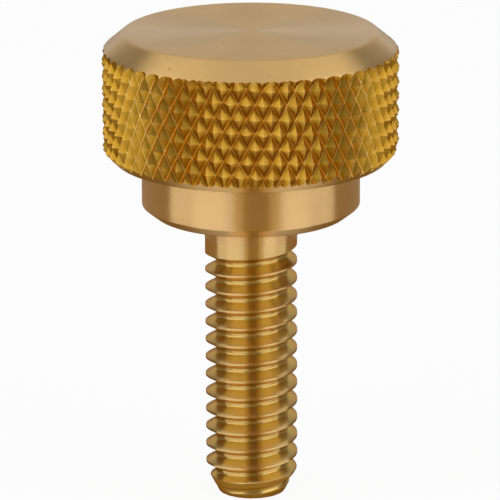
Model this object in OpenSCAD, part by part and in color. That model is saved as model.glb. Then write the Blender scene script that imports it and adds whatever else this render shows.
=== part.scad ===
// Knurled thumb screw, turned in one piece from a brass bar: a bevelled head with
// a diamond knurl, a plain collar, a short plain neck, and a coarse right-hand
// thread with a bevelled end. It stands on the flat end of its thread, at z = 0.

/* [Head] */
// Diameter over the points of the knurl
head_d = 12.8; // [11.5:0.05:16.5]
// Height of the head, from the collar to its top face
head_h = 5.58; // [4.5:0.02:9]
// Height of the bevel round the top face
top_bevel_h = 0.82; // [0.4:0.02:1.6]
// Width of the bevel round the top face
top_bevel_w = 0.98; // [0.4:0.02:1.6]
// Height of the bevel under the head
low_bevel_h = 0.53; // [0.2:0.01:0.95]
// Width of the bevel under the head
low_bevel_w = 0.52; // [0.2:0.01:0.75]

/* [Knurl] */
// Number of points in one ring of the diamond knurl
knurl_points = 56; // [40:1:64]
// Slant of the knurl's grooves, in degrees from the axis
knurl_slant = 30.3; // [20:0.1:40]
// Depth of the knurl's grooves
knurl_depth = 0.28; // [0.12:0.01:0.38]
// Height of the lowest whole ring of points above the underside of the head
first_ring = 0.9; // [0.56:0.01:1.25]

/* [Collar] */
// Diameter of the plain collar under the head
collar_d = 9.42; // [7.5:0.01:10.6]
// Height of the collar, from its seat to the head
collar_h = 2.44; // [1.25:0.01:5]
// Height of the bevel round the seat
seat_bevel_h = 0.42; // [0.12:0.01:0.95]
// Width of the bevel round the seat
seat_bevel_w = 0.53; // [0.12:0.01:0.95]

/* [Shank] */
// Length of the shank, from its end to the seat under the collar
shank_l = 12.65; // [9:0.05:25]
// Length of the plain neck between the seat and the thread
neck_l = 1.04; // [0.6:0.01:3]
// How much wider the neck is than the thread, in diameter
neck_excess = 0.04; // [0:0.01:0.06]
// Length of the bevel at the end of the thread
tip_bevel_l = 1.05; // [0.3:0.05:1.9]
// Diameter of the flat end
tip_d = 2.9; // [1.9:0.02:3]

/* [Thread] */
// Major diameter of the thread (number 8)
thread_d = 4; // [3.45:0.01:5.6]
// Rise of the thread in one turn (32 turns to the inch)
pitch = 0.794; // [0.62:0.002:0.94]
// Width of the flat on the thread's crest
crest_flat = 0.1; // [0.08:0.01:0.18]
// Width of the flat at the bottom of the groove
root_flat = 0.16; // [0.06:0.01:0.25]
// Angle between the two flanks of the groove, in degrees
flank_angle = 60; // [50:1:70]

/* [Hidden] */

brass = [0.80, 0.61, 0.30];
$fn = 96;

head_r = head_d / 2;
face_r = head_r - top_bevel_w;
collar_r = collar_d / 2;
thread_r = thread_d / 2;
neck_r = thread_r + neck_excess / 2;

// Heights up the axis
seat_z = shank_l;
head_z = seat_z + collar_h;
face_z = head_z + head_h;
neck_z = seat_z - neck_l;

// Knurl: rings half a diamond apart, each with a raised point at every second step
knurl_steps = 2 * knurl_points;
step_angle = 360 / knurl_steps;
ring_rise = PI * head_d / knurl_steps / tan(knurl_slant);
rings_below = ceil(first_ring / ring_rise) + 1;
rings_above = ceil((head_h - first_ring) / ring_rise) + 1;
blank_excess = 0.12;              // how much larger the blank is than the knurl

// Thread: one groove winds down the shank and out at its end
turn_steps = 24;
groove_start = 150;               // degrees round from +x at which the groove starts
groove_fade = 90;                 // degrees over which it grows to its full depth
mouth_excess = crest_flat / 2;    // how far the groove's cutter stands clear of the shank
groove_depth = (pitch - crest_flat - root_flat) / 2 / tan(flank_angle / 2);
groove_steps = ceil((neck_z / pitch + 0.5) * turn_steps);

// The head as turned, a little larger than the knurl, with both bevels
module head_blank() {
    out = blank_excess;
    low_slope = low_bevel_h / low_bevel_w;
    top_slope = top_bevel_h / top_bevel_w;
    rotate_extrude()
        polygon([
            [0, head_z],
            [head_r - low_bevel_w, head_z],
            [head_r + out, head_z + low_bevel_h + out * low_slope],
            [head_r + out, face_z - top_bevel_h - out * top_slope],
            [face_r, face_z],
            [0, face_z]
        ]);
}

// Step i of ring j is a raised point, or else a crossing of two grooves
function is_raised(i, j) = (i + j) % 2 != 0;

function knurl_vertex(i, j) =
    let (
        r = is_raised(i, j) ? head_r : head_r - knurl_depth,
        z = head_z + first_ring + (j - rings_below) * ring_rise
    )
    [r * cos(i * step_angle), r * sin(i * step_angle), z];

// A bar covered in four-sided points. Each patch between two rings is folded
// along the groove that crosses it, so a point has four flat sides.
module knurled_bar() {
    n = knurl_steps;
    rings = rings_below + rings_above;
    vertices = [for (j = [0:rings]) for (i = [0:n - 1]) knurl_vertex(i, j)];
    sides = [
        for (j = [0:rings - 1]) for (i = [0:n - 1])
            let (a = j * n + i, b = j * n + (i + 1) % n, c = b + n, d = a + n)
            each is_raised(i, j) ? [[a, d, b], [b, d, c]] : [[a, c, b], [a, d, c]]
    ];
    bottom = [for (i = [0:n - 1]) i];
    top = [for (i = [n - 1:-1:0]) rings * n + i];
    polyhedron(vertices, concat(sides, [bottom, top]), convexity = 4);
}

module head() {
    intersection() {
        head_blank();
        knurled_bar();
    }
}

module collar() {
    root = knurl_depth;           // how far the collar runs up into the head
    rotate_extrude()
        polygon([
            [0, seat_z],
            [collar_r - seat_bevel_w, seat_z],
            [collar_r, seat_z + seat_bevel_h],
            [collar_r, head_z + root],
            [0, head_z + root]
        ]);
}

module shank_blank() {
    rotate_extrude()
        polygon([
            [0, 0],
            [tip_d / 2, 0],
            [thread_r, tip_bevel_l],
            [thread_r, neck_z],
            [neck_r, neck_z],
            [neck_r, seat_z + seat_bevel_h],
            [0, seat_z + seat_bevel_h]
        ]);
}

// The groove's section at step k: its floor's two edges and its mouth's two edges
function groove_section(k) =
    let (
        turned = k * 360 / turn_steps,
        a = groove_start - turned,
        grown = min(1, turned / groove_fade),
        mouth_r = thread_r + mouth_excess,
        floor_r = mouth_r - mouth_excess / 2 - (groove_depth + mouth_excess / 2) * grown,
        floor_w = root_flat / 2,
        mouth_w = floor_w + (mouth_r - floor_r) * tan(flank_angle / 2),
        z = neck_z - pitch / 2 - k * pitch / turn_steps
    )
    [
        [floor_r * cos(a), floor_r * sin(a), z - floor_w],
        [mouth_r * cos(a), mouth_r * sin(a), z - mouth_w],
        [mouth_r * cos(a), mouth_r * sin(a), z + mouth_w],
        [floor_r * cos(a), floor_r * sin(a), z + floor_w]
    ];

module groove_cutter() {
    vertices = [for (k = [0:groove_steps]) each groove_section(k)];
    sides = [
        for (k = [0:groove_steps - 1]) for (m = [0:3])
            let (a = 4 * k + m, b = 4 * k + (m + 1) % 4, c = b + 4, d = a + 4)
            each [[a, c, b], [a, d, c]]
    ];
    last = 4 * groove_steps;
    ends = [[0, 1, 2, 3], [last + 3, last + 2, last + 1, last]];
    polyhedron(vertices, concat(sides, ends), convexity = 8);
}

module shank() {
    difference() {
        shank_blank();
        groove_cutter();
    }
}

module thumb_screw() {
    color(brass)
        union() {
            head();
            collar();
            shank();
        }
}

thumb_screw();
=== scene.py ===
import math
import bpy
import mathutils
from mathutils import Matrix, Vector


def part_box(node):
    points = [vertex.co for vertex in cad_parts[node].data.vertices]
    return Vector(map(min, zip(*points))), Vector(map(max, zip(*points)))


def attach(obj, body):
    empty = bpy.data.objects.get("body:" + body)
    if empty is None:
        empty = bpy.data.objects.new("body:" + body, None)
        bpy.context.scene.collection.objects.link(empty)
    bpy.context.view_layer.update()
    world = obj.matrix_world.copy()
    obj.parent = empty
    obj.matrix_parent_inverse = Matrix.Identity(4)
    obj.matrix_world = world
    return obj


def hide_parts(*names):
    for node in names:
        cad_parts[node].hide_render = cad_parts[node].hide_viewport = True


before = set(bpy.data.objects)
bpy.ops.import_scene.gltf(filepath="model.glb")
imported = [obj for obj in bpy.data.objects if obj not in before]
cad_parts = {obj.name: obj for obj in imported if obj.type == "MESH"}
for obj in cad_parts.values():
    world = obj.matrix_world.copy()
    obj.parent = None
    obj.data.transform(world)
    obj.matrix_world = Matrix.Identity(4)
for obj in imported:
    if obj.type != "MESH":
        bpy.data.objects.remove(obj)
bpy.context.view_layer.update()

# The head. It is turned from brass bar with a flat face and two bevels, and then
# two slanted wheels cut grooves into its rim, which cross and leave a diamond knurl.

mm = 0.001
highest_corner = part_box("thumb_screw")[1]
head_radius = highest_corner[0]
face_height = highest_corner[2]
seat_height = 12.65 * mm
head_bottom = seat_height + 2.44 * mm
face_radius = head_radius - 0.98 * mm
top_bevel_height = 0.82 * mm
low_bevel_height = 0.53 * mm
low_bevel_width = 0.52 * mm
blank_excess = 0.02 * mm  # how much larger the blank is than the points of the knurl
soft_corner = 0.16 * mm
soft_shoulder = 0.24 * mm
fine_corner = 0.04 * mm
corner_steps = 4
steps_round = 336
soft_edge = math.radians(22)

# Seen from outside, one wheel's grooves fall to the right and the other's rise. A rise is
# the height from one groove to the next, and a start is counted in grooves from the front.
knurl_depth = 0.28 * mm
falling_grooves = 58
falling_rise = 1.212 * mm
falling_start = -0.083
rising_grooves = 55
rising_rise = 1.302 * mm
rising_start = -0.077
steps_per_facet = 3
knurl_unevenness = 0.24
chatter_length = 0.7 * mm
tear_length = 0.25 * mm
knurl_top = face_height - top_bevel_height + 0.26 * mm
run_out = 0.4 * mm
rim_drop = 0.03 * mm
bar_excess = 0.3 * mm  # how far the knurled bar stands out past both ends of the head
end_slope = 20  # how steeply its ends close
front_turn = 0.75  # the front, in turns from +x
closing_gap = 0.0001 * mm


def new_tree(name, inputs):
    tree = bpy.data.node_groups.new(name, "GeometryNodeTree")
    tree.interface.new_socket("Geometry", in_out="OUTPUT", socket_type="NodeSocketGeometry")
    tree.interface.new_socket("Geometry", in_out="INPUT", socket_type="NodeSocketGeometry")
    for label, kind in inputs:
        tree.interface.new_socket(label, in_out="INPUT", socket_type="NodeSocket" + kind)
    return tree


def add_node(tree, kind, links=(), **settings):
    made = tree.nodes.new(kind)
    for key, value in settings.items():
        setattr(made, key, value)
    for key, value in dict(links).items():
        socket = made.inputs[key]
        if isinstance(value, bpy.types.NodeSocket):
            tree.links.new(value, socket)
        else:
            socket.default_value = value
    return made


def calc(tree, operation, *terms, clamp=False):
    links = {place: term for place, term in enumerate(terms)}
    return add_node(tree, "ShaderNodeMath", links, operation=operation, use_clamp=clamp).outputs[0]


def apply_tree(piece, tree, values):
    modifier = piece.modifiers.new("Shape", "NODES")
    modifier.node_group = tree
    for item in tree.interface.items_tree:
        if item.in_out == "INPUT" and item.name in values:
            modifier[item.identifier] = values[item.name]
    shaped = piece.evaluated_get(bpy.context.evaluated_depsgraph_get())
    mesh = bpy.data.meshes.new_from_object(shaped)
    piece.modifiers.clear()
    piece.data = mesh


def between(start, end, share):
    return tuple(a + (b - a) * share for a, b in zip(start, end))


def turned_outline(corners):
    """Points (radius, height) along straight cuts, with each corner rounded off.

    A corner is its place, the number of steps in the cut that leads to it, and
    how far from it the rounding starts.
    """
    points = [corners[0][0]]
    for this, after in zip(corners[1:], corners[2:] + [None]):
        place, steps, rounding = this
        start = points[-1]
        if after is None or rounding == 0:
            points += [between(start, place, step / steps) for step in range(1, steps + 1)]
            continue
        arc_start = between(place, start, rounding / math.dist(place, start))
        arc_end = between(place, after[0], rounding / math.dist(place, after[0]))
        points += [between(start, arc_start, step / steps) for step in range(1, steps + 1)]
        for step in range(1, corner_steps + 1):
            share = step / corner_steps
            points.append(
                between(between(arc_start, place, share), between(place, arc_end, share), share)
            )
    return points


def outline_object(name, points):
    mesh = bpy.data.meshes.new(name)
    edges = [(place, place + 1) for place in range(len(points) - 1)]
    mesh.from_pydata([(radius, 0, height) for radius, height in points], edges, [])
    piece = bpy.data.objects.new(name, mesh)
    bpy.context.scene.collection.objects.link(piece)
    return piece


cloud_scale = 420.0
cloud_shade = 0.9
speck_scale = 900.0
speck_shade = 0.6
tool_line_scale = 9000.0
tool_line_depth = 0.003 * mm
roughness_spread = 0.05


def make_brass(
    name, colours, edge_tint, roughness, anisotropy, depths=(0, 1), grain=None, specks=False
):
    """Brass whose colours, each with its share of the way, run from one radius to another.

    Fine lines follow the tool round the axis, unless a grain size is given.
    """
    brass = bpy.data.materials.new(name)
    brass.use_nodes = True
    tree = brass.node_tree
    shader = tree.nodes["Principled BSDF"]
    shader.inputs["Metallic"].default_value = 1
    shader.inputs["Anisotropic"].default_value = anisotropy
    shader.inputs["Anisotropic Rotation"].default_value = 0.25
    shader.inputs["Specular Tint"].default_value = (*edge_tint, 1)
    tangent = add_node(tree, "ShaderNodeTangent", direction_type="RADIAL", axis="Z")
    tree.links.new(tangent.outputs[0], shader.inputs["Tangent"])
    place = add_node(tree, "ShaderNodeTexCoord").outputs["Object"]
    parts = add_node(tree, "ShaderNodeSeparateXYZ", {"Vector": place}).outputs
    across = calc(tree, "MULTIPLY", parts["X"], parts["X"])
    deep = calc(tree, "MULTIPLY", parts["Y"], parts["Y"])
    reach = calc(tree, "SQRT", calc(tree, "ADD", across, deep))
    # Colours that change with depth paint light and shade into the brass
    depth = add_node(
        tree, "ShaderNodeMapRange", {"Value": reach, "From Min": depths[0], "From Max": depths[1]}
    ).outputs[0]
    by_depth = add_node(tree, "ShaderNodeValToRGB", {"Fac": depth})
    stops = by_depth.color_ramp.elements
    while len(stops) > len(colours):
        stops.remove(stops[-1])
    while len(stops) < len(colours):
        stops.new(1)
    for stop, (share, colour) in zip(stops, colours):
        stop.position = share
        stop.color = (*colour, 1)
    clouds = add_node(
        tree, "ShaderNodeTexNoise", {"Vector": place, "Scale": cloud_scale, "Detail": 4.0}
    ).outputs["Fac"]
    shade = add_node(
        tree,
        "ShaderNodeMapRange",
        {"Value": clouds, "From Min": 0.3, "From Max": 0.7, "To Min": cloud_shade, "To Max": 1.0},
    ).outputs[0]
    if specks:
        off_speck = add_node(
            tree, "ShaderNodeTexVoronoi", {"Vector": place, "Scale": speck_scale}
        ).outputs["Distance"]
        dulled = add_node(
            tree,
            "ShaderNodeMapRange",
            {
                "Value": off_speck,
                "From Min": 0.03,
                "From Max": 0.07,
                "To Min": speck_shade,
                "To Max": 1.0,
            },
        ).outputs[0]
        shade = calc(tree, "MULTIPLY", shade, dulled)
    skin = add_node(
        tree, "ShaderNodeVectorMath", {0: by_depth.outputs["Color"]}, operation="SCALE"
    )
    tree.links.new(shade, skin.inputs["Scale"])
    tree.links.new(skin.outputs[0], shader.inputs["Base Color"])
    pattern = add_node(
        tree, "ShaderNodeCombineXYZ", {"X": reach, "Y": parts["Z"], "Z": 0.0}
    ).outputs[0]
    fineness = tool_line_scale
    line_depth = tool_line_depth
    if grain:
        pattern = place
        fineness = 1 / grain
        line_depth = grain / 6
    lines = add_node(
        tree, "ShaderNodeTexNoise", {"Vector": pattern, "Scale": fineness, "Detail": 3.0}
    ).outputs["Fac"]
    rough = add_node(
        tree,
        "ShaderNodeMapRange",
        {
            "Value": lines,
            "To Min": roughness - roughness_spread,
            "To Max": roughness + roughness_spread,
        },
    )
    tree.links.new(rough.outputs[0], shader.inputs["Roughness"])
    bump = add_node(
        tree, "ShaderNodeBump", {"Height": lines, "Distance": line_depth, "Strength": 0.5}
    )
    tree.links.new(bump.outputs[0], shader.inputs["Normal"])
    return brass


faced_brass = make_brass(
    "faced brass", [(0, (0.77, 0.49, 0.19))], (1, 1, 1), 0.30, 0.85, specks=True
)
# The knurl's colours by depth are painted light: a thin pale line along each groove floor is a
# painted highlight, and the dark band just above it, fading towards the points, is painted shade
# in the grooves.
knurled_brass = make_brass(
    "knurled brass",
    [(0, (0.90, 0.60, 0.18)), (0.1, (0.46, 0.24, 0.012)), (1, (0.71, 0.41, 0.075))],
    (0.92, 0.60, 0.25),
    0.36,
    0.0,
    depths=(head_radius - knurl_depth, head_radius),
    grain=0.09 * mm,
)


def round_axis(tree, reach, angle, height):
    """The place at a distance from the axis, an angle round it and a height."""
    across = calc(tree, "MULTIPLY", reach, calc(tree, "COSINE", angle))
    deep = calc(tree, "MULTIPLY", reach, calc(tree, "SINE", angle))
    return add_node(tree, "ShaderNodeCombineXYZ", {"X": across, "Y": deep, "Z": height}).outputs[0]


def close_up(tree, sheet, place, brass, gap=closing_gap):
    """Wrap a flat sheet round the axis, close its seam and ends, and give it its brass."""
    shaped = add_node(tree, "GeometryNodeSetPosition", {"Geometry": sheet, "Position": place})
    outward = add_node(tree, "GeometryNodeFlipFaces", {"Mesh": shaped.outputs[0]})
    closed = add_node(
        tree, "GeometryNodeMergeByDistance", {"Geometry": outward.outputs[0], "Distance": gap}
    )
    realized = add_node(tree, "GeometryNodeRealizeInstances", {"Geometry": closed.outputs[0]})
    skinned = add_node(
        tree, "GeometryNodeSetMaterial", {"Geometry": realized.outputs[0], "Material": brass}
    )
    finished = tree.nodes.new("NodeGroupOutput")
    tree.links.new(skinned.outputs[0], finished.inputs[0])


# An outline wound once round the axis, as a lathe turns it
lathe = new_tree(
    "Turned shape",
    [("Outline points", "Int"), ("Steps round", "Int"), ("Brass", "Material")],
)
sizes = lathe.nodes.new("NodeGroupInput").outputs
sheet = add_node(
    lathe,
    "GeometryNodeMeshGrid",
    {
        "Vertices X": calc(lathe, "ADD", sizes["Steps round"], 1),
        "Vertices Y": sizes["Outline points"],
    },
)
order = add_node(lathe, "GeometryNodeInputIndex").outputs[0]
row = calc(lathe, "MODULO", order, sizes["Outline points"])
column = calc(lathe, "FLOOR", calc(lathe, "DIVIDE", order, sizes["Outline points"]))
turn = calc(lathe, "MULTIPLY", calc(lathe, "DIVIDE", column, sizes["Steps round"]), math.tau)
on_outline = add_node(
    lathe,
    "GeometryNodeSampleIndex",
    {"Geometry": sizes["Geometry"], "Index": row},
    data_type="FLOAT_VECTOR",
)
where = add_node(lathe, "GeometryNodeInputPosition").outputs[0]
lathe.links.new(where, on_outline.inputs["Value"])
cut = add_node(lathe, "ShaderNodeSeparateXYZ", {"Vector": on_outline.outputs[0]}).outputs
close_up(
    lathe,
    sheet.outputs["Mesh"],
    round_axis(lathe, cut["X"], turn, cut["Z"]),
    sizes["Brass"],
)

# A bar covered in four-sided points, and then cut off to the shape of the turned head
knurl = new_tree(
    "Diamond knurl",
    [
        ("Falling grooves", "Int"),
        ("Falling rise", "Float"),
        ("Falling start", "Float"),
        ("Rising grooves", "Int"),
        ("Rising rise", "Float"),
        ("Rising start", "Float"),
        ("Steps per facet", "Int"),
        ("Rows", "Int"),
        ("First row", "Int"),
        ("Seat height", "Float"),
        ("Bar bottom", "Float"),
        ("Bar top", "Float"),
        ("Knurl radius", "Float"),
        ("Knurl depth", "Float"),
        ("Knurl top", "Float"),
        ("Run-out", "Float"),
        ("Rim drop", "Float"),
        ("Unevenness", "Float"),
        ("Cut face", "Material"),
    ],
)
sizes = knurl.nodes.new("NodeGroupInput").outputs
facets_round = calc(knurl, "ADD", sizes["Falling grooves"], sizes["Rising grooves"])
columns = calc(knurl, "MULTIPLY", facets_round, sizes["Steps per facet"])
sheet = add_node(
    knurl,
    "GeometryNodeMeshGrid",
    {"Vertices X": calc(knurl, "ADD", columns, 1), "Vertices Y": sizes["Rows"]},
)


def facet_steps(tree, sizes, rows):
    """Steps across and up in facets, for the points or faces of a sheet with so many rows."""
    order = add_node(tree, "GeometryNodeInputIndex").outputs[0]
    column = calc(tree, "FLOOR", calc(tree, "DIVIDE", order, rows))
    row = calc(tree, "ADD", calc(tree, "MODULO", order, rows), sizes["First row"])
    across = calc(tree, "DIVIDE", column, sizes["Steps per facet"])
    up = calc(tree, "DIVIDE", row, sizes["Steps per facet"])
    return across, up


# Each facet is split along the groove beside it, never across it
across, up = facet_steps(knurl, sizes, calc(knurl, "SUBTRACT", sizes["Rows"], 1))
which = calc(knurl, "ADD", calc(knurl, "FLOOR", across), calc(knurl, "FLOOR", up))
is_odd = calc(knurl, "GREATER_THAN", calc(knurl, "FLOORED_MODULO", which, 2), 0.5)
split = add_node(
    knurl,
    "GeometryNodeTriangulate",
    {"Mesh": sheet.outputs["Mesh"], "Selection": is_odd},
    quad_method="FIXED",
)
split = add_node(
    knurl, "GeometryNodeTriangulate", {"Mesh": split.outputs[0]}, quad_method="FIXED_ALTERNATE"
)


def lattice_place(tree, sizes, falling, rising):
    """The angle and height at which two grooves or lines of points cross."""
    falling_pull = calc(tree, "DIVIDE", falling, sizes["Rising rise"])
    rising_pull = calc(tree, "DIVIDE", rising, sizes["Falling rise"])
    spread = calc(
        tree,
        "ADD",
        calc(tree, "DIVIDE", sizes["Falling grooves"], sizes["Rising rise"]),
        calc(tree, "DIVIDE", sizes["Rising grooves"], sizes["Falling rise"]),
    )
    turns = calc(tree, "DIVIDE", calc(tree, "ADD", falling_pull, rising_pull), spread)
    lift = calc(
        tree,
        "SUBTRACT",
        calc(tree, "MULTIPLY", sizes["Rising grooves"], falling),
        calc(tree, "MULTIPLY", sizes["Falling grooves"], rising),
    )
    height = calc(tree, "ADD", calc(tree, "DIVIDE", lift, spread), sizes["Seat height"])
    angle = calc(tree, "MULTIPLY", calc(tree, "ADD", turns, front_turn), math.tau)
    return angle, height


def tool_chatter(tree, spot, size, start):
    """A slow random wander about nought, which repeats exactly at the seam."""
    moved = add_node(
        tree, "ShaderNodeVectorMath", {0: spot, 1: (start, start, start)}, operation="ADD"
    ).outputs[0]
    wander = add_node(
        tree, "ShaderNodeTexNoise", {"Vector": moved, "Scale": 1 / size, "Detail": 2.0}
    ).outputs["Fac"]
    return calc(tree, "SUBTRACT", wander, 0.5)


def nearness(tree, path):
    """One on the line of points that path follows, and nought in the groove."""
    off = calc(tree, "ABSOLUTE", calc(tree, "SUBTRACT", path, calc(tree, "ROUND", path)))
    return calc(tree, "SUBTRACT", 1, calc(tree, "MULTIPLY", off, 2))


across, up = facet_steps(knurl, sizes, sizes["Rows"])
falling = calc(knurl, "DIVIDE", calc(knurl, "ADD", across, up), 2)
rising = calc(knurl, "DIVIDE", calc(knurl, "SUBTRACT", across, up), 2)
raised = calc(knurl, "MINIMUM", nearness(knurl, falling), nearness(knurl, rising))
falling = calc(knurl, "ADD", falling, sizes["Falling start"])
rising = calc(knurl, "ADD", rising, sizes["Rising start"])
angle, path = lattice_place(knurl, sizes, falling, rising)
even_place = round_axis(knurl, sizes["Knurl radius"], angle, path)
height = calc(knurl, "MINIMUM", path, sizes["Bar top"])
height = calc(knurl, "MAXIMUM", height, sizes["Bar bottom"])
past_end = calc(knurl, "ABSOLUTE", calc(knurl, "SUBTRACT", path, height))
wander = tool_chatter(knurl, even_place, chatter_length, 0.1)
falling = calc(knurl, "ADD", falling, calc(knurl, "MULTIPLY", wander, sizes["Unevenness"]))
wander = tool_chatter(knurl, even_place, chatter_length, 0.3)
rising = calc(knurl, "ADD", rising, calc(knurl, "MULTIPLY", wander, sizes["Unevenness"]))
angle, path = lattice_place(knurl, sizes, falling, rising)
height = calc(knurl, "MINIMUM", path, sizes["Bar top"])
height = calc(knurl, "MAXIMUM", height, sizes["Bar bottom"])
lost = calc(knurl, "MULTIPLY", calc(knurl, "SUBTRACT", 1, raised), sizes["Knurl depth"])
torn = calc(knurl, "ABSOLUTE", tool_chatter(knurl, even_place, tear_length, 0.5))
torn = calc(knurl, "MULTIPLY", torn, calc(knurl, "MULTIPLY", sizes["Unevenness"], 2))
lost = calc(knurl, "ADD", lost, calc(knurl, "MULTIPLY", torn, sizes["Knurl depth"]))
below_top = calc(knurl, "SUBTRACT", sizes["Knurl top"], height)
full = calc(knurl, "DIVIDE", below_top, sizes["Run-out"], clamp=True)
lost = calc(
    knurl,
    "ADD",
    calc(knurl, "MULTIPLY", lost, full),
    calc(knurl, "MULTIPLY", sizes["Rim drop"], calc(knurl, "SUBTRACT", 1, full)),
)
radius = calc(knurl, "SUBTRACT", sizes["Knurl radius"], lost)
radius = calc(knurl, "SUBTRACT", radius, calc(knurl, "MULTIPLY", past_end, end_slope))
radius = calc(knurl, "MAXIMUM", radius, 0)
shaped = add_node(
    knurl,
    "GeometryNodeSetPosition",
    {"Geometry": split.outputs[0], "Position": round_axis(knurl, radius, angle, height)},
)
bar = add_node(
    knurl, "GeometryNodeMergeByDistance", {"Geometry": shaped.outputs[0], "Distance": closing_gap}
)
bar = add_node(
    knurl,
    "GeometryNodeStoreNamedAttribute",
    {"Geometry": bar.outputs[0], "Name": "knurled", "Value": True},
    data_type="BOOLEAN",
    domain="FACE",
)
trimmed = add_node(knurl, "GeometryNodeMeshBoolean", operation="INTERSECT", solver="EXACT")
knurl.links.new(sizes["Geometry"], trimmed.inputs["Mesh 2"])
knurl.links.new(bar.outputs[0], trimmed.inputs["Mesh 2"])
is_knurled = add_node(
    knurl, "GeometryNodeInputNamedAttribute", {"Name": "knurled"}, data_type="BOOLEAN"
)
realized = add_node(knurl, "GeometryNodeRealizeInstances", {"Geometry": trimmed.outputs[0]})
skinned = add_node(
    knurl,
    "GeometryNodeSetMaterial",
    {
        "Geometry": realized.outputs[0],
        "Selection": is_knurled.outputs[0],
        "Material": sizes["Cut face"],
    },
)
finished = knurl.nodes.new("NodeGroupOutput")
knurl.links.new(skinned.outputs[0], finished.inputs[0])

low_slope = low_bevel_height / low_bevel_width
top_slope = top_bevel_height / (head_radius - face_radius)
blank_radius = head_radius + blank_excess
shoulder = face_height - top_bevel_height - blank_excess * top_slope
heel = head_bottom + low_bevel_height + blank_excess * low_slope
outline = turned_outline(
    [
        ((0, face_height), 0, 0),
        ((face_radius, face_height), 8, soft_corner),
        ((blank_radius, shoulder), 3, soft_shoulder),
        ((blank_radius, heel), 1, 0),
        ((head_radius - low_bevel_width, head_bottom), 2, fine_corner),
        ((0, head_bottom), 4, 0),
    ]
)
head = outline_object("head", outline)
apply_tree(
    head,
    lathe,
    {"Outline points": len(outline), "Steps round": steps_round, "Brass": faced_brass},
)

# The sheet's rows climb round the axis, so that spare rows close both of its ends
row_rise = 1 / (falling_grooves / rising_rise + rising_grooves / falling_rise)
row_rise *= (falling_grooves + rising_grooves) / 2 / steps_per_facet
closing_rows = abs(falling_grooves - rising_grooves) * steps_per_facet
spare_rows = 2 * steps_per_facet
lowest = (head_bottom - bar_excess - seat_height) / row_rise
highest = (face_height + bar_excess - seat_height) / row_rise
first_row = math.floor(lowest / steps_per_facet) * steps_per_facet - spare_rows
apply_tree(
    head,
    knurl,
    {
        "Falling grooves": falling_grooves,
        "Falling rise": falling_rise,
        "Falling start": falling_start,
        "Rising grooves": rising_grooves,
        "Rising rise": rising_rise,
        "Rising start": rising_start,
        "Steps per facet": steps_per_facet,
        "Rows": math.ceil(highest) + closing_rows + spare_rows - first_row,
        "First row": first_row,
        "Seat height": seat_height,
        "Bar bottom": head_bottom - bar_excess,
        "Bar top": face_height + bar_excess,
        "Knurl radius": head_radius,
        "Knurl depth": knurl_depth,
        "Knurl top": knurl_top,
        "Run-out": run_out,
        "Rim drop": rim_drop,
        "Unevenness": knurl_unevenness,
        "Cut face": knurled_brass,
    },
)
head.data.shade_smooth()
head.data.set_sharp_from_angle(angle=soft_edge)
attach(head, "root")
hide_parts("thumb_screw")

# The collar and the neck, turned in the same setting as the head. The collar is
# plain and bevelled round its seat, and the neck is the bar left above the thread.

collar_radius = 4.71 * mm
seat_bevel_height = 0.42 * mm
seat_bevel_width = 0.53 * mm
neck_radius = 2.02 * mm
neck_bottom = seat_height - 1.04 * mm
collar_root = 0.2 * mm  # how far the collar runs up into the head
turned_brass = make_brass("turned brass", [(0, (0.78, 0.50, 0.215))], (1, 1, 1), 0.30, 0.9)
outline = turned_outline(
    [
        ((0, head_bottom + collar_root), 0, 0),
        ((collar_radius, head_bottom + collar_root), 4, 0),
        ((collar_radius, seat_height + seat_bevel_height), 6, fine_corner),
        ((collar_radius - seat_bevel_width, seat_height), 4, fine_corner),
        ((neck_radius, seat_height), 4, fine_corner),
        ((neck_radius, neck_bottom), 4, 0),
        ((0, neck_bottom), 2, 0),
    ]
)
collar = outline_object("collar", outline)
apply_tree(
    collar,
    lathe,
    {"Outline points": len(outline), "Steps round": steps_round, "Brass": turned_brass},
)
collar.data.shade_smooth()
collar.data.set_sharp_from_angle(angle=soft_edge)
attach(collar, "root")
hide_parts("thumb_screw")

# The threaded shank. One right-hand groove is cut down the shank from the neck
# and runs out through the bevel at its flat end, on which the screw stands.

thread_radius = 2.0 * mm
pitch = 0.794 * mm
crest_flat = 0.1 * mm
root_flat = 0.16 * mm
flank_angle = math.radians(60)
groove_depth = (pitch - crest_flat - root_flat) / 2 / math.tan(flank_angle / 2)
groove_start = 150 / 360  # in turns from +x
groove_fade = 90 / 360  # the turn in which the groove grows to its full depth
tip_radius = 1.45 * mm
tip_bevel = 1.05 * mm
shank_top = neck_bottom + 0.4 * mm  # inside the neck
rows_per_turn = 18
shank_steps = 144
# The thread's colours by depth are painted light: darker at the groove floor as painted shade, and
# lightest a quarter of the way up the flanks as a painted highlight.
threaded_brass = make_brass(
    "threaded brass",
    [(0, (0.68, 0.46, 0.15)), (0.25, (0.79, 0.58, 0.18)), (1, (0.74, 0.50, 0.20))],
    (0.86, 0.62, 0.47),
    0.25,
    0.8,
    depths=(thread_radius - groove_depth, thread_radius),
)

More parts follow.
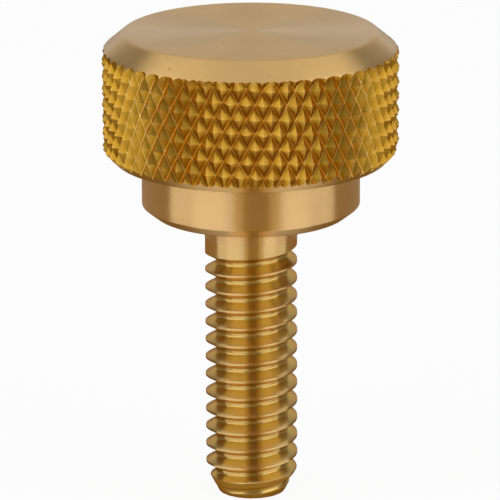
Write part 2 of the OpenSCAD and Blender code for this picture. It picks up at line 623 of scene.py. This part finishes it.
# The sheet's rows follow the thread down, and its seam is one turn of it
thread = new_tree(
    "Helical thread",
    [
        ("Rows", "Int"),
        ("Rows in a turn", "Int"),
        ("Steps round", "Int"),
        ("Pitch", "Float"),
        ("Crest flat", "Float"),
        ("Root flat", "Float"),
        ("Groove depth", "Float"),
        ("Groove start", "Float"),
        ("Groove fade", "Float"),
        ("Thread radius", "Float"),
        ("Tip radius", "Float"),
        ("Tip bevel", "Float"),
        ("Top", "Float"),
        ("Groove top", "Float"),
        ("Brass", "Material"),
    ],
)
sizes = thread.nodes.new("NodeGroupInput").outputs
sheet = add_node(
    thread,
    "GeometryNodeMeshGrid",
    {"Vertices X": calc(thread, "ADD", sizes["Steps round"], 1), "Vertices Y": sizes["Rows"]},
)
order = add_node(thread, "GeometryNodeInputIndex").outputs[0]
row = calc(thread, "MODULO", order, sizes["Rows"])
column = calc(thread, "FLOOR", calc(thread, "DIVIDE", order, sizes["Rows"]))
share = calc(thread, "DIVIDE", column, sizes["Steps round"])
turn = calc(thread, "MULTIPLY", share, math.tau)
dropped = calc(thread, "DIVIDE", row, sizes["Rows in a turn"])
unwound = calc(thread, "SUBTRACT", calc(thread, "ADD", share, 1), dropped)
path = calc(
    thread,
    "ADD",
    calc(thread, "ADD", sizes["Top"], sizes["Thread radius"]),
    calc(thread, "MULTIPLY", unwound, sizes["Pitch"]),
)
height = calc(thread, "MAXIMUM", calc(thread, "MINIMUM", path, sizes["Top"]), 0)
past_top = calc(thread, "MAXIMUM", calc(thread, "SUBTRACT", path, sizes["Top"]), 0)
past_end = calc(thread, "MAXIMUM", calc(thread, "MULTIPLY", path, -1), 0)
climbed = calc(
    thread, "DIVIDE", calc(thread, "SUBTRACT", height, sizes["Groove top"]), sizes["Pitch"]
)
from_start = calc(thread, "SUBTRACT", share, sizes["Groove start"])
in_turns = calc(thread, "SUBTRACT", climbed, from_start)
nearest = calc(thread, "ROUND", in_turns)
off = calc(thread, "ABSOLUTE", calc(thread, "SUBTRACT", in_turns, nearest))
off = calc(thread, "MULTIPLY", off, sizes["Pitch"])
wound = calc(thread, "MULTIPLY", calc(thread, "ADD", nearest, from_start), -1)
grown = calc(thread, "DIVIDE", wound, sizes["Groove fade"], clamp=True)
mouth = calc(thread, "DIVIDE", calc(thread, "SUBTRACT", sizes["Pitch"], sizes["Crest flat"]), 2)
floor_edge = calc(thread, "DIVIDE", sizes["Root flat"], 2)
sunk = add_node(
    thread,
    "ShaderNodeMapRange",
    {"Value": off, "From Min": mouth, "From Max": floor_edge, "To Min": 0.0, "To Max": 1.0},
).outputs[0]
sunk = calc(thread, "MULTIPLY", calc(thread, "MULTIPLY", sunk, sizes["Groove depth"]), grown)
threaded = calc(thread, "SUBTRACT", sizes["Thread radius"], sunk)
bevelled = add_node(
    thread,
    "ShaderNodeMapRange",
    {
        "Value": height,
        "From Min": 0.0,
        "From Max": sizes["Tip bevel"],
        "To Min": sizes["Tip radius"],
        "To Max": sizes["Thread radius"],
    },
).outputs[0]
radius = calc(thread, "MINIMUM", threaded, bevelled)
radius = calc(thread, "SUBTRACT", radius, calc(thread, "ADD", past_top, past_end))
radius = calc(thread, "MAXIMUM", radius, 0)
close_up(
    thread,
    sheet.outputs["Mesh"],
    round_axis(thread, radius, turn, height),
    sizes["Brass"],
    gap=5 * closing_gap,
)

unrolled = shank_top + 2 * thread_radius + 3 * pitch  # with both ends and three spare turns
shank = outline_object("shank", [(0, 0), (thread_radius, 0)])
apply_tree(
    shank,
    thread,
    {
        "Rows": math.ceil(unrolled / pitch * rows_per_turn),
        "Rows in a turn": rows_per_turn,
        "Steps round": shank_steps,
        "Pitch": pitch,
        "Crest flat": crest_flat,
        "Root flat": root_flat,
        "Groove depth": groove_depth,
        "Groove start": groove_start,
        "Groove fade": groove_fade,
        "Thread radius": thread_radius,
        "Tip radius": tip_radius,
        "Tip bevel": tip_bevel,
        "Top": shank_top,
        "Groove top": neck_bottom - pitch / 2,
        "Brass": threaded_brass,
    },
)
shank.data.shade_smooth()
shank.data.set_sharp_from_angle(angle=math.radians(35))
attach(shank, "root")
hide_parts("thumb_screw")

# The floor: a plain white sheet under the screw, which shows as white to the
# camera and in the brass, and still takes the screw's shadow.

floor_half = 0.6
floor_glow = 0.93
floor_mesh = bpy.data.meshes.new("floor")
floor_mesh.from_pydata(
    [
        (-floor_half, -floor_half, 0),
        (floor_half, -floor_half, 0),
        (floor_half, floor_half, 0),
        (-floor_half, floor_half, 0),
    ],
    [],
    [(0, 1, 2, 3)],
)
floor = bpy.data.objects.new("floor", floor_mesh)
bpy.context.scene.collection.objects.link(floor)
white = bpy.data.materials.new("white sheet")
white.use_nodes = True
tree = white.node_tree
tree.nodes["Principled BSDF"].inputs["Base Color"].default_value = (0.85, 0.85, 0.85, 1)
tree.nodes["Principled BSDF"].inputs["Roughness"].default_value = 0.9
glow = add_node(tree, "ShaderNodeEmission", {"Color": (1, 1, 1, 1), "Strength": 1.0})
rays = add_node(tree, "ShaderNodeLightPath").outputs
seen = calc(tree, "MAXIMUM", rays["Is Camera Ray"], rays["Is Glossy Ray"])
seen = calc(tree, "MAXIMUM", seen, rays["Is Transmission Ray"])
share = calc(tree, "MULTIPLY", seen, floor_glow)
blend = add_node(tree, "ShaderNodeMixShader", {"Fac": share})
tree.links.new(tree.nodes["Principled BSDF"].outputs[0], blend.inputs[1])
tree.links.new(glow.outputs[0], blend.inputs[2])
tree.links.new(blend.outputs[0], tree.nodes["Material Output"].inputs["Surface"])
floor_mesh.materials.append(white)

# The studio light: a soft box on each side, one behind, the largest overhead, and a
# dim grey room round them.

aim_height = seat_height - 1.75 * mm


def soft_box(name, turn_degrees, lift_degrees, distance, width, height, power):
    lamp_data = bpy.data.lights.new(name, "AREA")
    lamp_data.shape = "RECTANGLE"
    lamp_data.size = width
    lamp_data.size_y = height
    lamp_data.energy = power
    lamp = bpy.data.objects.new(name, lamp_data)
    bpy.context.scene.collection.objects.link(lamp)
    round_turn = math.radians(turn_degrees)
    lift = math.radians(lift_degrees)
    lamp.location = (
        distance * math.sin(round_turn) * math.cos(lift),
        -distance * math.cos(round_turn) * math.cos(lift),
        aim_height + distance * math.sin(lift),
    )
    lamp.rotation_euler = (math.pi / 2 - lift, 0, round_turn)


soft_box("left soft box", -58, 24, 0.35, 0.45, 0.32, 0.475)
soft_box("right soft box", 62, 24, 0.35, 0.38, 0.32, 0.385)
soft_box("back soft box", 180, 30, 0.4, 0.45, 0.4, 0.185)
soft_box("top soft box", 0, 84, 0.35, 0.9, 0.6, 0.88)
world = bpy.data.worlds.new("room")
world.use_nodes = True
world.node_tree.nodes["Background"].inputs["Color"].default_value = (0.9, 0.9, 0.9, 1)
world.node_tree.nodes["Background"].inputs["Strength"].default_value = 0.3
bpy.context.scene.world = world

# Painted reflections: brown cards that stand in for shade on the floor and a darker room, so that
# the brass mirrors more than white. They lie on the floor in sectors of rings, and show in the
# brass alone.

card_height = 0.02 * mm
top_card_height = 0.03 * mm
foot_reach = 2.8 * mm
thread_reach = 13.5 * mm
knurl_reach = 28.5 * mm
card_reach = 0.32
card_steps = 24
# Colours of the painted reflections of shade on the floor and in the room
dark_brown = (0.46, 0.29, 0.06)
foot_brown = (0.58, 0.41, 0.13)
mid_brown = (0.85, 0.68, 0.36)
deep_brown = (0.28, 0.16, 0.02)
back_brown = (0.45, 0.32, 0.18)


def painted_reflection_card(name, colour, first_degrees, last_degrees, inner, outer, height):
    """Part of a ring on the floor, counted from the front, that only the brass shows: a painted
    reflection.
    """
    span = last_degrees - first_degrees
    corners = []
    for step in range(card_steps + 1):
        round_turn = math.radians(first_degrees + span * step / card_steps)
        for reach in (inner, outer):
            corners.append((reach * math.sin(round_turn), -reach * math.cos(round_turn), height))
    faces = [(2 * step, 2 * step + 1, 2 * step + 3, 2 * step + 2) for step in range(card_steps)]
    mesh = bpy.data.meshes.new(name)
    mesh.from_pydata(corners, [], faces)
    painted_reflection_material = bpy.data.materials.new(name)
    painted_reflection_material.use_nodes = True
    painted_reflection_material.node_tree.nodes["Principled BSDF"].inputs["Base Color"].default_value = (*colour, 1)
    painted_reflection_material.node_tree.nodes["Principled BSDF"].inputs["Roughness"].default_value = 1
    mesh.materials.append(painted_reflection_material)
    card = bpy.data.objects.new(name, mesh)
    bpy.context.scene.collection.objects.link(card)
    card.visible_camera = False
    card.visible_diffuse = False
    card.visible_shadow = False


# The foot, front foot, back foot and knurl cards are painted shadow on the floor near the screw,
# seen in the brass; the front, edge and back cards are painted dark reflections of unlit parts of
# the room.
for card in (
    ("foot card", foot_brown, 0, 360, 0.1 * mm, foot_reach, card_height),
    ("front foot card", deep_brown, -5, 16, foot_reach, thread_reach, top_card_height),
    ("back foot card", deep_brown, 95, 265, foot_reach, thread_reach, top_card_height),
    ("knurl card", deep_brown, 64, 296, thread_reach, knurl_reach, top_card_height),
    ("front card", dark_brown, -8, 19, foot_reach, card_reach, card_height),
    ("left edge card", mid_brown, -17, -8, foot_reach, card_reach, card_height),
    ("right edge card", mid_brown, 19, 30, foot_reach, card_reach, card_height),
    ("back card", back_brown, 95, 269, foot_reach, card_reach, card_height),
):
    painted_reflection_card(*card)

# The camera looks down a little on the screw with a long lens.

camera_lift = math.radians(16.171)
camera_distance = 195 * mm
camera_roll = -0.0035
camera_data = bpy.data.cameras.new("camera")
camera_data.sensor_width = 36
camera_data.lens = 323.8272
camera_data.shift_x = -0.002162
camera_data.clip_start = 0.01
camera = bpy.data.objects.new("camera", camera_data)
bpy.context.scene.collection.objects.link(camera)
camera.location = (
    0,
    -camera_distance * math.cos(camera_lift),
    aim_height + camera_distance * math.sin(camera_lift),
)
level = mathutils.Euler((math.pi / 2 - camera_lift, 0, 0)).to_matrix()
camera.rotation_euler = (level @ mathutils.Matrix.Rotation(camera_roll, 3, "Z")).to_euler()
bpy.context.scene.camera = camera
bpy.context.scene.view_settings.view_transform = "Standard"
